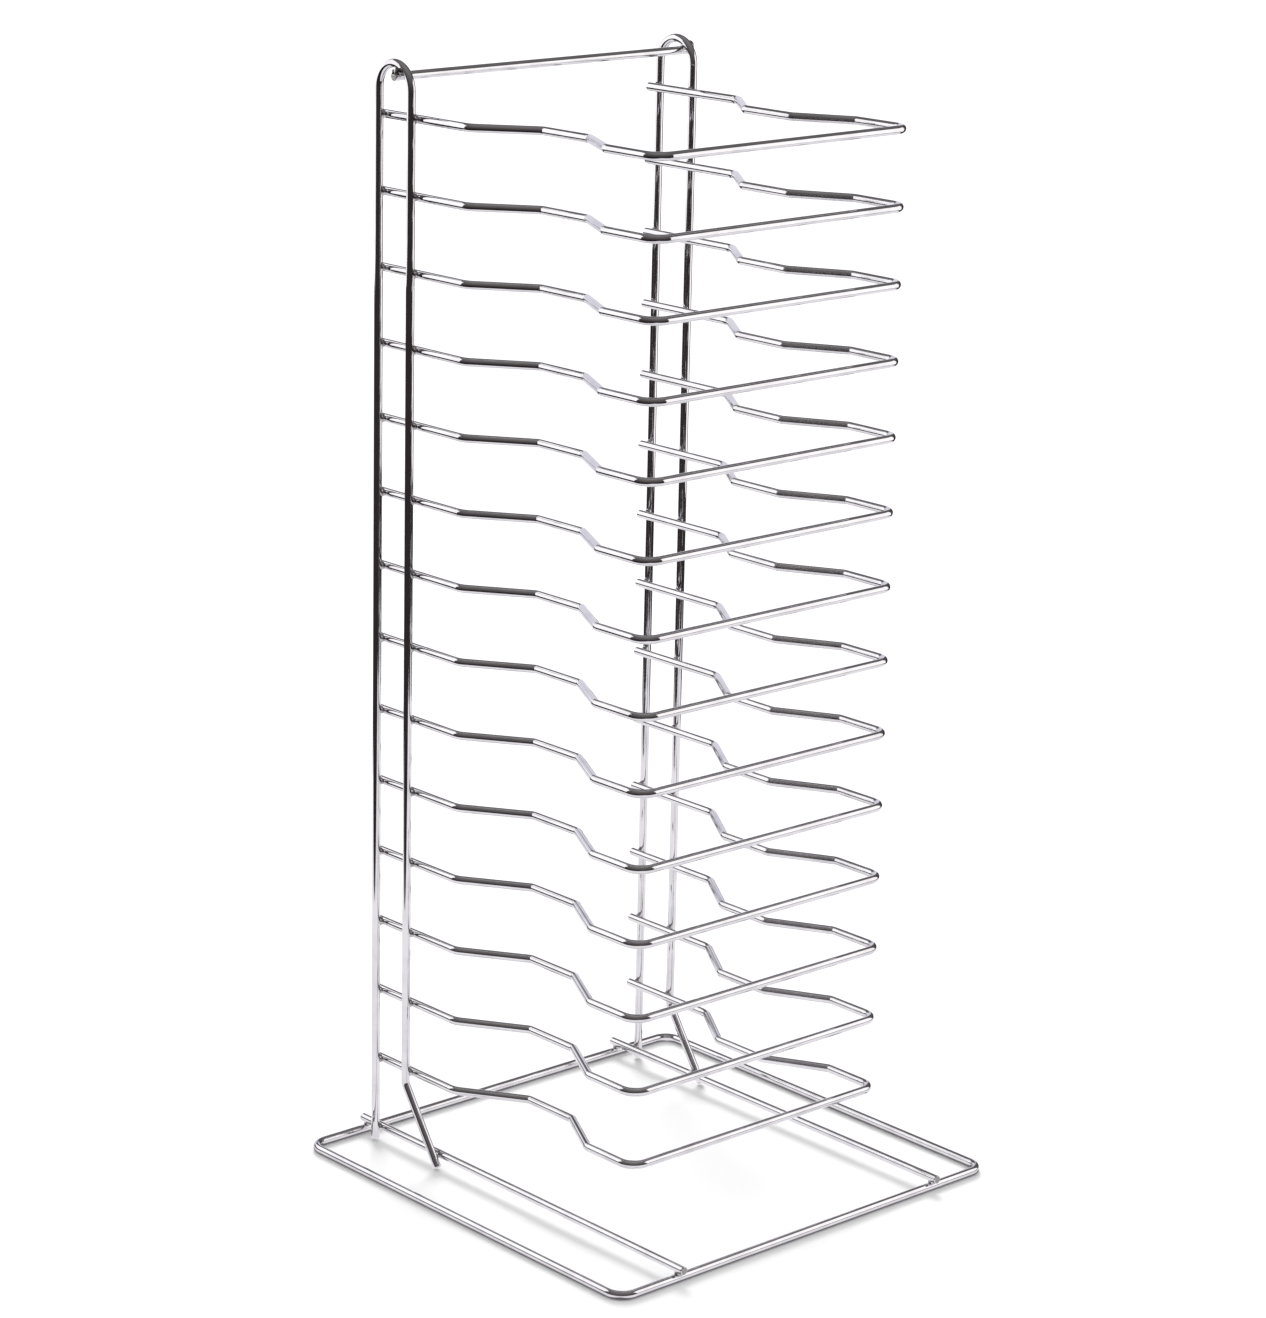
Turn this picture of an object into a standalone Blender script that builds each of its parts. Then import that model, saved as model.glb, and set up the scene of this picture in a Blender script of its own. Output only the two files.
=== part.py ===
"""Counter-top pan rack of chromed steel wire.

Fourteen flat shelf wires are welded to the inner side of two hairpin uprights. The
uprights stand beside two runners that lie across a base loop, and a carry bar joins
the two arches at the top. Nothing moves: every crossing is a weld.

Metres, +Z up, front towards -Y. The origin is on the floor at the middle of the base.
"""

from math import atan2, cos, pi, sin, sqrt, tan

import bpy
from mathutils import Vector

# The wire, the gap kept where two wires are welded, and the faces round a wire.
WIRE = 0.00525
WELD_GAP = 0.0003
WIRE_SIDES = 8

# Base loop: lengths between wire centre lines, and what the runners add to it.
BASE_WIDTH = 0.3038
BASE_DEPTH = 0.2932
BASE_CORNER_RADIUS = 0.0105
RUNNER_OVERHANG = 0.0048

# Shelf wires: how many, how far apart, and the lowest one's height.
SHELF_COUNT = 14
SHELF_PITCH = 0.046
LOWEST_SHELF_HEIGHT = 0.0544

# Half widths of a shelf wire at its rear, its waist and its front.
SHELF_REAR_HALF = 0.1062
SHELF_WAIST_HALF = 0.0797
SHELF_FRONT_HALF = 0.1002

# Lengths along a shelf wire's depth, from its cut rear end to its front bar.
SHELF_TAIL = 0.0040
SHELF_REAR_RUN = 0.0735
SHELF_SLOPE_IN = 0.0383
SHELF_WAIST_RUN = 0.0402
SHELF_SLOPE_OUT = 0.0374
SHELF_FRONT_RUN = 0.0410
SHELF_KINK_RADIUS = 0.0055
SHELF_CORNER_RADIUS = 0.0098

# Uprights: a vertical rear leg, an arch, and a front leg that ends in a sloping strut.
LEG_SETBACK = 0.0148
LEG_SPACING = 0.0301
ARCH_RISE = 0.0300
STRUT_BEND_HEIGHT = 0.0479
STRUT_BEND_RADIUS = 0.0060
STRUT_REACH = 0.0320
STRUT_FOOT_HEIGHT = 0.0018
REAR_FOOT_HEIGHT = 0.0015

# Carry bar: how far forward of the arches' middle it sits, and how far it sticks out.
CARRY_BAR_FORWARD = 0.0050
CARRY_BAR_OVERHANG = 0.0053

# Facets in a bend: one for each of these angles that the wire turns through.
ARC_STEP = pi / 12

# Finishes: linear colour and roughness of the plating.
CHROME_COLOR = (0.74, 0.73, 0.75, 1.0)
CHROME_ROUGHNESS = 0.07

# Places that follow from the sizes above.
RADIUS = WIRE / 2
WELDED_STEP = WIRE + WELD_GAP
BASE_HEIGHT = RADIUS
RUNNER_HEIGHT = BASE_HEIGHT + WELDED_STEP
RAIL_X = SHELF_REAR_HALF
UPRIGHT_X = RAIL_X + WELDED_STEP
REAR_LEG_Y = BASE_DEPTH / 2 - LEG_SETBACK
FRONT_LEG_Y = REAR_LEG_Y - LEG_SPACING
TOP_SHELF_HEIGHT = LOWEST_SHELF_HEIGHT + (SHELF_COUNT - 1) * SHELF_PITCH
ARCH_RADIUS = LEG_SPACING / 2
ARCH_CENTRE_HEIGHT = TOP_SHELF_HEIGHT + ARCH_RISE - ARCH_RADIUS
ARCH_CENTRE_Y = REAR_LEG_Y - ARCH_RADIUS


def clear_scene():
    """Removes every object that is already in the scene."""
    for obj in list(bpy.data.objects):
        bpy.data.objects.remove(obj, do_unlink=True)


def chrome_material(name):
    """Bright nickel-chrome plating for one wire."""
    material = bpy.data.materials.new(name)
    material.use_nodes = True
    shader = material.node_tree.nodes["Principled BSDF"]
    shader.inputs["Base Color"].default_value = CHROME_COLOR
    shader.inputs["Metallic"].default_value = 1.0
    shader.inputs["Roughness"].default_value = CHROME_ROUGHNESS
    material.diffuse_color = CHROME_COLOR
    return material


def bend(before, corner, after, radius):
    """Points of the arc that rounds one corner of a flat path."""
    back = (before - corner).normalized()
    ahead = (after - corner).normalized()
    turn = pi - back.angle(ahead)
    reach = radius * tan(turn / 2)
    middle = (back + ahead).normalized()
    centre = corner + middle * (radius / cos(turn / 2))
    start = corner + back * reach - centre
    side = corner + ahead * reach - centre
    sweep = atan2(start.cross(side), start.dot(side))
    steps = max(2, round(abs(sweep) / ARC_STEP))
    angles = [sweep * i / steps for i in range(steps + 1)]
    return [centre + turned(start, angle) for angle in angles]


def turned(vector, angle):
    """A flat vector turned about the drawing plane's normal."""
    return Vector(
        (
            vector.x * cos(angle) - vector.y * sin(angle),
            vector.x * sin(angle) + vector.y * cos(angle),
        )
    )


def bent_path(corners):
    """A flat wire path from its corners, each an (x, y, bend radius)."""
    places = [Vector(corner[:2]) for corner in corners]
    count = len(places)
    points = []
    for i, (_, _, radius) in enumerate(corners):
        if radius == 0.0:
            points.append(places[i])
            continue
        points += bend(places[i - 1], places[i], places[(i + 1) % count], radius)
    return points


def wire(name, path, location=(0, 0, 0), rotation=(0, 0, 0), closed=False):
    """One length of wire along a flat path, with flats facing square to its plane."""
    curve = bpy.data.curves.new(name, "CURVE")
    curve.dimensions = "3D"
    curve.twist_mode = "Z_UP"
    curve.bevel_depth = RADIUS / cos(pi / WIRE_SIDES)
    curve.bevel_resolution = WIRE_SIDES // 2 - 2
    curve.use_fill_caps = not closed
    spline = curve.splines.new("POLY")
    spline.points.add(len(path) - 1)
    for point, place in zip(spline.points, path):
        point.co = (place.x, place.y, 0.0, 1.0)
        point.tilt = pi / WIRE_SIDES
    spline.use_cyclic_u = closed
    spline.use_smooth = True
    curve.materials.append(chrome_material(f"{name}_chrome"))
    obj = bpy.data.objects.new(name, curve)
    obj.location = location
    obj.rotation_euler = rotation
    bpy.context.scene.collection.objects.link(obj)
    return obj


def base_loop():
    """The closed rectangle that lies on the counter."""
    x = BASE_WIDTH / 2
    y = BASE_DEPTH / 2
    outline = ((-x, -y), (x, -y), (x, y), (-x, y))
    path = bent_path([(*corner, BASE_CORNER_RADIUS) for corner in outline])
    wire("base_loop", path, location=(0, 0, BASE_HEIGHT), closed=True)


def runners():
    """Two straight wires across the base, one under each side of the shelves."""
    end = BASE_DEPTH / 2 + RUNNER_OVERHANG
    path = [Vector((0, end)), Vector((0, -end))]
    for name, side in (("runner_left", -1), ("runner_right", 1)):
        wire(name, path, location=(side * RAIL_X, 0, RUNNER_HEIGHT))


def arch():
    """The half circle over an upright's two legs, as (depth, height) points."""
    centre = Vector((ARCH_CENTRE_Y, ARCH_CENTRE_HEIGHT))
    steps = round(pi / ARC_STEP)
    rear = Vector((ARCH_RADIUS, 0))
    return [centre + turned(rear, pi * i / steps) for i in range(steps + 1)]


def uprights():
    """Two hairpins, drawn flat as (depth, height) and stood up at each side."""
    strut = [
        (FRONT_LEG_Y, ARCH_CENTRE_HEIGHT, 0.0),
        (FRONT_LEG_Y, STRUT_BEND_HEIGHT, STRUT_BEND_RADIUS),
        (FRONT_LEG_Y - STRUT_REACH, STRUT_FOOT_HEIGHT, 0.0),
    ]
    rear_foot = Vector((REAR_LEG_Y, REAR_FOOT_HEIGHT))
    path = [rear_foot] + arch() + bent_path(strut)[1:]
    stood_up = (pi / 2, 0, pi / 2)
    for name, side in (("upright_left", -1), ("upright_right", 1)):
        wire(name, path, location=(side * UPRIGHT_X, 0, 0), rotation=stood_up)


def carry_bar():
    """The straight bar welded to the underside of both arches."""
    inside = ARCH_RADIUS - WELDED_STEP
    rise = sqrt(inside**2 - CARRY_BAR_FORWARD**2)
    place = (0, ARCH_CENTRE_Y - CARRY_BAR_FORWARD, ARCH_CENTRE_HEIGHT + rise)
    flat_to_arch = (atan2(CARRY_BAR_FORWARD, rise), 0, 0)
    end = UPRIGHT_X + CARRY_BAR_OVERHANG
    path = [Vector((-end, 0)), Vector((end, 0))]
    wire("carry_bar", path, location=place, rotation=flat_to_arch)


def shelf_side():
    """Corners along one side of a shelf wire, from its rear end to its front bar."""
    stretches = (
        (-SHELF_TAIL, SHELF_REAR_HALF, 0.0),
        (SHELF_TAIL + SHELF_REAR_RUN, SHELF_REAR_HALF, SHELF_KINK_RADIUS),
        (SHELF_SLOPE_IN, SHELF_WAIST_HALF, SHELF_KINK_RADIUS),
        (SHELF_WAIST_RUN, SHELF_WAIST_HALF, SHELF_KINK_RADIUS),
        (SHELF_SLOPE_OUT, SHELF_FRONT_HALF, SHELF_KINK_RADIUS),
        (SHELF_FRONT_RUN, SHELF_FRONT_HALF, SHELF_CORNER_RADIUS),
    )
    corners = []
    depth = REAR_LEG_Y
    for length, half_width, radius in stretches:
        depth -= length
        corners.append((half_width, depth, radius))
    return corners


def shelves():
    """The shelf wires, each open at the rear and drawn in to a waist."""
    right = shelf_side()
    left = [(-x, y, radius) for x, y, radius in right]
    path = bent_path(left + right[::-1])
    for i in range(SHELF_COUNT):
        height = LOWEST_SHELF_HEIGHT + i * SHELF_PITCH
        wire(f"shelf_{i + 1:02d}", path, location=(0, 0, height))


def main():
    clear_scene()
    base_loop()
    runners()
    uprights()
    carry_bar()
    shelves()


main()
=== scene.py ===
from math import cos, pi, radians, sin, sqrt, tan

import bmesh
import bpy
from bpy.props import FloatProperty, FloatVectorProperty, IntProperty, PointerProperty
from bpy.types import Operator, Panel, PropertyGroup
from mathutils import Euler, Matrix, Vector


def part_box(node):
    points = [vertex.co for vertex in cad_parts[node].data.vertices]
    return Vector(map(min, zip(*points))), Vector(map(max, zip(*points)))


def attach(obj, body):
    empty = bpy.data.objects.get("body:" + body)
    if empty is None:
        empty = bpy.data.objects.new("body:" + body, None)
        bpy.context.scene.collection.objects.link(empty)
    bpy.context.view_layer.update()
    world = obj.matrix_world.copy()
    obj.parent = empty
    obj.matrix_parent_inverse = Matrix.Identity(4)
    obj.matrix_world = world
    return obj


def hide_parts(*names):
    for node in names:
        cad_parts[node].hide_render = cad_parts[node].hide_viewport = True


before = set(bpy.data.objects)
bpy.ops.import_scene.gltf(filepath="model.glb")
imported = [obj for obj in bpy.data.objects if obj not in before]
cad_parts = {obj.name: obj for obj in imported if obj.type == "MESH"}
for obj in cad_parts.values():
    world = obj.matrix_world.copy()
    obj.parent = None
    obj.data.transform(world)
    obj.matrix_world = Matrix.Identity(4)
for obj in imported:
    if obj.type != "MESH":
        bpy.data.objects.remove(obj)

bl_info = {
    "name": "Wire Pan Rack",
    "version": (1, 0, 0),
    "blender": (4, 5, 0),
    "location": "View3D > Sidebar > Pan Rack",
    "description": "Builds a counter-top pan rack of bent, welded and chromed wire",
    "category": "Add Mesh",
}

# The rack faces -Y and stands on the floor at z = 0. All lengths are metres.
SHELVES = sorted(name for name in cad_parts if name.startswith("shelf_"))
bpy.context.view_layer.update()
SIDES = (("left", -1), ("right", 1))


def span(node, axis):
    """How long a CAD node is along one axis."""
    low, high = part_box(node)
    return high[axis] - low[axis]


def middle(node):
    """The middle of a CAD node's box."""
    low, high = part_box(node)
    return (low + high) / 2


# ---------------------------------------------------------------------- sizes


class RackSizes(PropertyGroup):
    """Sizes of the wire, its bends, its cut ends and its welds."""

    wire_diameter: FloatProperty(
        name="Wire diameter",
        description="Thickness of the drawn wire",
        default=span("base_loop", 2),
        min=0.002,
        max=0.01,
        unit="LENGTH",
        precision=5,
    )
    wire_sides: IntProperty(
        name="Wire sides",
        description="Faces round one wire",
        default=24,
        min=8,
        max=48,
    )
    ring_spacing: FloatProperty(
        name="Ring spacing",
        description="Longest straight stretch between two rings of points along a wire",
        default=0.004,
        min=0.001,
        max=0.05,
        unit="LENGTH",
        precision=4,
    )
    cut_rounding: FloatProperty(
        name="Cut rounding",
        description="How far the plating rounds the rim of a cut end",
        default=0.0004,
        min=0.0001,
        max=0.001,
        unit="LENGTH",
        precision=5,
    )
    base_corner: FloatProperty(
        name="Base corner",
        description="Bend radius of the base loop's corners",
        default=0.0105,
        min=0.004,
        max=0.05,
        unit="LENGTH",
        precision=4,
    )
    shelf_shoulder: FloatProperty(
        name="Shelf shoulder",
        description="Bend radius where a shelf wire leaves the uprights for its waist",
        default=0.0120,
        min=0.003,
        max=0.03,
        unit="LENGTH",
        precision=4,
    )
    shelf_kink: FloatProperty(
        name="Shelf kink",
        description="Bend radius where a shelf wire narrows to its waist and widens again",
        default=0.0055,
        min=0.003,
        max=0.03,
        unit="LENGTH",
        precision=4,
    )
    shelf_corner: FloatProperty(
        name="Shelf corner",
        description="Bend radius of a shelf wire's two front corners",
        default=0.0098,
        min=0.003,
        max=0.04,
        unit="LENGTH",
        precision=4,
    )
    strut_bend: FloatProperty(
        name="Strut bend",
        description="Bend radius where a front leg turns forward into its strut",
        default=0.0060,
        min=0.003,
        max=0.03,
        unit="LENGTH",
        precision=4,
    )
    bead_smallest: FloatProperty(
        name="Smallest bead",
        description="Size of the smallest weld bead, as a share of the drawn one",
        default=0.90,
        min=0.5,
        max=1.5,
        subtype="FACTOR",
    )
    bead_largest: FloatProperty(
        name="Largest bead",
        description="Size of the largest weld bead, as a share of the drawn one",
        default=1.06,
        min=0.5,
        max=1.5,
        subtype="FACTOR",
    )
    bead_lumps: FloatProperty(
        name="Bead lumps",
        description="How far the metal of a weld bead stands in and out of its smooth shape",
        default=0.00030,
        min=0.0,
        max=0.001,
        unit="LENGTH",
        precision=5,
    )
    seed: IntProperty(
        name="Seed",
        description="Chooses how the weld beads differ from one another",
        default=7,
        min=0,
    )


class PlatingFinish(PropertyGroup):
    """Colours and roughness of the chrome plating."""

    bright: FloatVectorProperty(
        name="Bright chrome",
        description="Colour of clean plating",
        subtype="COLOR",
        size=3,
        min=0.0,
        max=1.0,
        default=(0.80, 0.795, 0.81),
    )
    dull: FloatVectorProperty(
        name="Dull chrome",
        description="Colour where the plating is thin or smudged",
        subtype="COLOR",
        size=3,
        min=0.0,
        max=1.0,
        default=(0.70, 0.69, 0.71),
    )
    burnt: FloatVectorProperty(
        name="Burnt chrome",
        description="Colour of plating over a weld, where it takes badly",
        subtype="COLOR",
        size=3,
        min=0.0,
        max=1.0,
        default=(0.36, 0.34, 0.33),
    )
    polished: FloatProperty(
        name="Polished roughness",
        description="Roughness of clean plating",
        default=0.03,
        min=0.0,
        max=1.0,
        subtype="FACTOR",
    )
    smudged: FloatProperty(
        name="Smudged roughness",
        description="Roughness of handled plating",
        default=0.08,
        min=0.0,
        max=1.0,
        subtype="FACTOR",
    )
    welded: FloatProperty(
        name="Welded roughness",
        description="Roughness of plating over a weld or a cut end",
        default=0.34,
        min=0.0,
        max=1.0,
        subtype="FACTOR",
    )


class StudioSetup(PropertyGroup):
    """The floor, the light and the camera."""

    floor_size: FloatProperty(
        name="Floor size",
        description="Width of the pale floor",
        default=30.0,
        min=2.0,
        unit="LENGTH",
    )
    key_strength: FloatProperty(
        name="Key light",
        description="Strength of the soft light that gives the faint shadows",
        default=3.0,
        min=0.0,
    )
    camera_place: FloatVectorProperty(
        name="Camera place",
        description="Where the camera stands",
        subtype="TRANSLATION",
        size=3,
        default=(-1.5721, -1.7131, 0.9843),
    )
    camera_heading: FloatProperty(
        name="Heading",
        description="Direction the camera faces, clockwise from +Y seen from above",
        default=radians(42.18),
        subtype="ANGLE",
    )
    camera_tilt: FloatProperty(
        name="Tilt",
        description="How far the camera looks down",
        default=radians(15.79),
        subtype="ANGLE",
    )
    camera_roll: FloatProperty(
        name="Roll",
        description="How far the camera is turned about its own line of sight",
        default=radians(1.24),
        subtype="ANGLE",
    )
    camera_lens: FloatProperty(
        name="Lens",
        description="Focal length on a 36 mm long side",
        default=108.9,
        min=10.0,
        unit="CAMERA",
    )


# A shelf wire's side, from its cut rear end forward, and its half width there.
SHELF_REAR_RUN = 0.0775
SHELF_SLOPE_IN = 0.0383
SHELF_WAIST_RUN = 0.0402
SHELF_SLOPE_OUT = 0.0374
SHELF_WAIST_HALF = 0.0797
SHELF_FRONT_HALF = 0.1002

# Bent by hand: how the topmost shelf wire differs from the lowest. The change grows with
# the square of the height, whose mean is a third, and is centred on the sizes above.
TOP_REAR_RUN_GAIN = 0.0062
TOP_FRONT_HALF_LOSS = 0.0026
MEAN_CLIMB = 1 / 3

# How far the lowest and the topmost shelf wire sit above their level, at the rear and
# at the front.
REAR_LIFTS = (0.0003, -0.0018)
FRONT_LIFTS = (0.0002, 0.0008)

# Uprights: distance between the two legs, height of the strut's bend, and its reach.
LEG_SPACING = 0.0301
STRUT_BEND_HEIGHT = 0.0479
STRUT_REACH = 0.0320
STRUT_FOOT_HEIGHT = 0.0018
REAR_FOOT_HEIGHT = 0.0015

# Angle of one step round a bend, the guard step beside it, and steps round a cut rim.
BEND_STEP = radians(7.5)
GUARD = 0.0005
RIM_STEPS = 4

# How far along the wire a weld marks it, in wire diameters.
WELD_REACH = 2.4

# More corners than this, and a face of a wire is its cut end.
SIDE_FACE_CORNERS = 4.5


# ---------------------------------------------------------------- node helpers


def add(tree, kind, feeds=None, **options):
    """Adds a node with these options. Each feed is a socket to link or a plain value."""
    node = tree.nodes.new(kind)
    for option, value in options.items():
        setattr(node, option, value)
    for key, value in (feeds or {}).items():
        socket = node.inputs[key]
        if isinstance(value, bpy.types.NodeSocket):
            tree.links.new(value, socket)
        else:
            socket.default_value = value
    return node


def math(tree, operation, first, second=0.0, clamp=False):
    """One arithmetic step between two sockets or numbers."""
    node = add(
        tree,
        "ShaderNodeMath",
        {0: first, 1: second},
        operation=operation,
        use_clamp=clamp,
    )
    return node.outputs[0]


def stored(tree, name, kind="FLOAT"):
    """Reads a named attribute in a geometry tree."""
    node = add(tree, "GeometryNodeInputNamedAttribute", {"Name": name}, data_type=kind)
    return node.outputs["Attribute"]


def store(tree, geometry, name, value, kind="FLOAT", domain="POINT"):
    """Writes a named attribute in a geometry tree."""
    feeds = {"Geometry": geometry, "Name": name, "Value": value}
    kind_of_node = "GeometryNodeStoreNamedAttribute"
    node = add(tree, kind_of_node, feeds, data_type=kind, domain=domain)
    return node.outputs["Geometry"]


def new_tree(name, inputs):
    """A geometry tree with a Geometry input and output, and these named inputs."""
    tree = bpy.data.node_groups.new(name, "GeometryNodeTree")
    face = tree.interface
    face.new_socket("Geometry", in_out="INPUT", socket_type="NodeSocketGeometry")
    for label, kind in inputs:
        face.new_socket(label, in_out="INPUT", socket_type=f"NodeSocket{kind}")
    face.new_socket("Geometry", in_out="OUTPUT", socket_type="NodeSocketGeometry")
    start = tree.nodes.new("NodeGroupInput")
    return tree, start.outputs


def end_tree(tree, geometry, material):
    """Ends a tree with real geometry in one material."""
    whole = add(tree, "GeometryNodeRealizeInstances", {"Geometry": geometry})
    coated = add(
        tree,
        "GeometryNodeSetMaterial",
        {"Geometry": whole.outputs[0], "Material": material},
    )
    add(tree, "NodeGroupOutput", {"Geometry": coated.outputs[0]})


# --------------------------------------------------------------- the wire tree


def bent_wire_tree():
    """Turns a guide line with sharp corners into a round bent wire with capped ends."""
    tree, given = new_tree(
        "Bent Wire",
        (
            ("Wire Diameter", "Float"),
            ("Wire Sides", "Int"),
            ("Ring Spacing", "Float"),
            ("Weld Marks", "Object"),
            ("Weld Reach", "Float"),
            ("Material", "Material"),
        ),
    )
    line = bent_line(tree, given["Geometry"], given["Ring Spacing"])
    measure = add(tree, "GeometryNodeSplineParameter")
    line = store(tree, line, "along", measure.outputs["Length"])
    radius = math(tree, "DIVIDE", given["Wire Diameter"], 2.0)
    circle = add(
        tree,
        "GeometryNodeCurvePrimitiveCircle",
        {"Resolution": given["Wire Sides"], "Radius": radius},
    )
    place = add(tree, "GeometryNodeInputPosition").outputs[0]
    profile = store(tree, circle.outputs["Curve"], "round", place, "FLOAT_VECTOR")
    skin = add(
        tree,
        "GeometryNodeCurveToMesh",
        {
            "Curve": line,
            "Profile Curve": profile,
            "Scale": stored(tree, "rim_scale"),
            "Fill Caps": True,
        },
    )
    shaded = shaded_wire(tree, skin.outputs["Mesh"])
    run = straightened(tree)
    marked = store(tree, shaded, "wire_run", run, "FLOAT_VECTOR")
    heat = weld_heat(tree, given["Weld Marks"], given["Weld Reach"])
    marked = store(tree, marked, "weld_heat", heat)
    end_tree(tree, marked, given["Material"])
    return tree


def bent_line(tree, guide, spacing):
    """Rounds the guide's corners and splits its straight stretches."""
    curve = add(tree, "GeometryNodeMeshToCurve", {"Mesh": guide})
    rounded = add(
        tree,
        "GeometryNodeFilletCurve",
        {
            "Curve": curve.outputs["Curve"],
            "Count": stored(tree, "bend_steps", "INT"),
            "Radius": stored(tree, "bend_radius"),
        },
        mode="POLY",
    )
    place = add(tree, "GeometryNodeInputPosition").outputs[0]
    ahead = add(tree, "GeometryNodeOffsetPointInCurve", {"Offset": 1})
    beyond = add(
        tree,
        "GeometryNodeFieldAtIndex",
        {"Index": ahead.outputs["Point Index"]},
        data_type="FLOAT_VECTOR",
        domain="POINT",
    )
    tree.links.new(place, beyond.inputs["Value"])
    gap = add(
        tree,
        "ShaderNodeVectorMath",
        {0: place, 1: beyond.outputs["Value"]},
        operation="DISTANCE",
    )
    cuts = math(tree, "DIVIDE", gap.outputs["Value"], spacing)
    split = add(
        tree,
        "GeometryNodeSubdivideCurve",
        {"Curve": rounded.outputs["Curve"], "Cuts": math(tree, "FLOOR", cuts)},
    )
    return split.outputs["Curve"]


def shaded_wire(tree, mesh):
    """Smooth round the wire and flat on its cut ends, which are marked."""
    corners = add(tree, "GeometryNodeInputMeshFaceNeighbors").outputs["Vertex Count"]
    is_end = math(tree, "GREATER_THAN", corners, SIDE_FACE_CORNERS)
    is_side = math(tree, "LESS_THAN", corners, SIDE_FACE_CORNERS)
    smooth = add(
        tree, "GeometryNodeSetShadeSmooth", {"Geometry": mesh, "Shade Smooth": is_side}
    )
    return store(tree, smooth.outputs["Geometry"], "cut_end", is_end, domain="FACE")


def straightened(tree):
    """Each point's place as if the wire were straight and stood along Z."""
    flat = add(
        tree, "ShaderNodeSeparateXYZ", {"Vector": stored(tree, "round", "FLOAT_VECTOR")}
    )
    run = add(
        tree,
        "ShaderNodeCombineXYZ",
        {
            "X": flat.outputs["X"],
            "Y": flat.outputs["Y"],
            "Z": stored(tree, "along"),
        },
    )
    return run.outputs["Vector"]


def weld_heat(tree, marks, reach):
    """From 1 at a weld to 0 at its reach along the wire."""
    dots = add(tree, "GeometryNodeObjectInfo", {"Object": marks})
    near = add(
        tree,
        "GeometryNodeProximity",
        {"Geometry": dots.outputs["Geometry"]},
        target_element="POINTS",
    )
    far = math(tree, "DIVIDE", near.outputs["Distance"], reach)
    return math(tree, "SUBTRACT", 1.0, far, clamp=True)


# --------------------------------------------------------------- guides, wires


def arc_reach(before, corner, after, radius):
    """How much of a corner's arms its bend takes up, and how many steps it needs."""
    turn = pi - (before - corner).angle(after - corner)
    return radius * tan(turn / 2), max(3, round(turn / BEND_STEP))


def guide_stations(corners, closed, rounding, radius):
    """A wire's guide points, each a place, a bend radius, a step count and a scale."""
    places = [Vector(place) for place, _ in corners]
    count = len(places)
    reaches = []
    for i, (_, bend) in enumerate(corners):
        if bend == 0.0:
            reaches.append((0.0, 1))
            continue
        reaches.append(arc_reach(places[i - 1], places[i], places[(i + 1) % count], bend))
    stations = []
    for i, (_, bend) in enumerate(corners):
        reach, steps = reaches[i]
        before = guard_point(places, reaches, i, i - 1, bend)
        after = guard_point(places, reaches, i, (i + 1) % count, bend)
        stations += [(before, 0.0, 1, 1.0)] if before else []
        stations.append((places[i], bend, steps, 1.0))
        stations += [(after, 0.0, 1, 1.0)] if after else []
    if closed:
        return stations
    first = rim(stations[0][0], stations[1][0], rounding, radius)
    last = rim(stations[-1][0], stations[-2][0], rounding, radius)
    return first + stations[1:-1] + last[::-1]


def guard_point(places, reaches, i, neighbour, bend):
    """A point on the straight just outside a bend, where there is room for one."""
    if bend == 0.0:
        return None
    arm = places[neighbour] - places[i]
    taken = reaches[i][0] + reaches[neighbour][0] + 2 * GUARD
    if arm.length < taken:
        return None
    return places[i] + arm.normalized() * (reaches[i][0] + GUARD)


def rim(end, inward, rounding, radius):
    """The steps of a cut end's rounded rim, from the end inward."""
    along = (inward - end).normalized()
    steps = []
    for i in range(RIM_STEPS + 1):
        angle = pi / 2 * (1 - i / RIM_STEPS)
        depth = rounding * (1 - sin(angle))
        scale = (radius - rounding * (1 - cos(angle))) / radius
        steps.append((end + along * depth, 0.0, 1, scale))
    steps.append((end + along * (rounding + GUARD), 0.0, 1, 1.0))
    return steps


def guide(name, corners, closed, sizes):
    """A guide line of one wire, with what the wire tree reads at each point."""
    radius = sizes.wire_diameter / 2
    stations = guide_stations(corners, closed, sizes.cut_rounding, radius)
    count = len(stations)
    mesh = bpy.data.meshes.new(name)
    links = [(i, (i + 1) % count) for i in range(count if closed else count - 1)]
    mesh.from_pydata([station[0] for station in stations], links, [])
    for label, kind, column in (
        ("bend_radius", "FLOAT", 1),
        ("bend_steps", "INT", 2),
        ("rim_scale", "FLOAT", 3),
    ):
        layer = mesh.attributes.new(label, kind, "POINT")
        layer.data.foreach_set("value", [station[column] for station in stations])
    return mesh


def grown(name, mesh, tree, settings):
    """Runs a tree on a mesh and returns the result as a plain mesh object."""
    source = bpy.data.objects.new(f"{name}_source", mesh)
    bpy.context.scene.collection.objects.link(source)
    modifier = source.modifiers.new(tree.name, "NODES")
    modifier.node_group = tree
    for item in tree.interface.items_tree:
        if item.in_out == "INPUT" and item.name in settings:
            modifier[item.identifier] = settings[item.name]
    depsgraph = bpy.context.evaluated_depsgraph_get()
    evaluated = source.evaluated_get(depsgraph)
    finished = bpy.data.meshes.new_from_object(
        evaluated, preserve_all_data_layers=True, depsgraph=depsgraph
    )
    source.modifiers.remove(modifier)
    bpy.data.objects.remove(source)
    if not finished.polygons:
        raise RuntimeError(f"{name} came out with no faces")
    for label in ("bend_radius", "bend_steps", "rim_scale", "round", "along"):
        if label in finished.attributes:
            finished.attributes.remove(finished.attributes[label])
    finished.name = name
    piece = bpy.data.objects.new(name, finished)
    bpy.context.scene.collection.objects.link(piece)
    return piece


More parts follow.
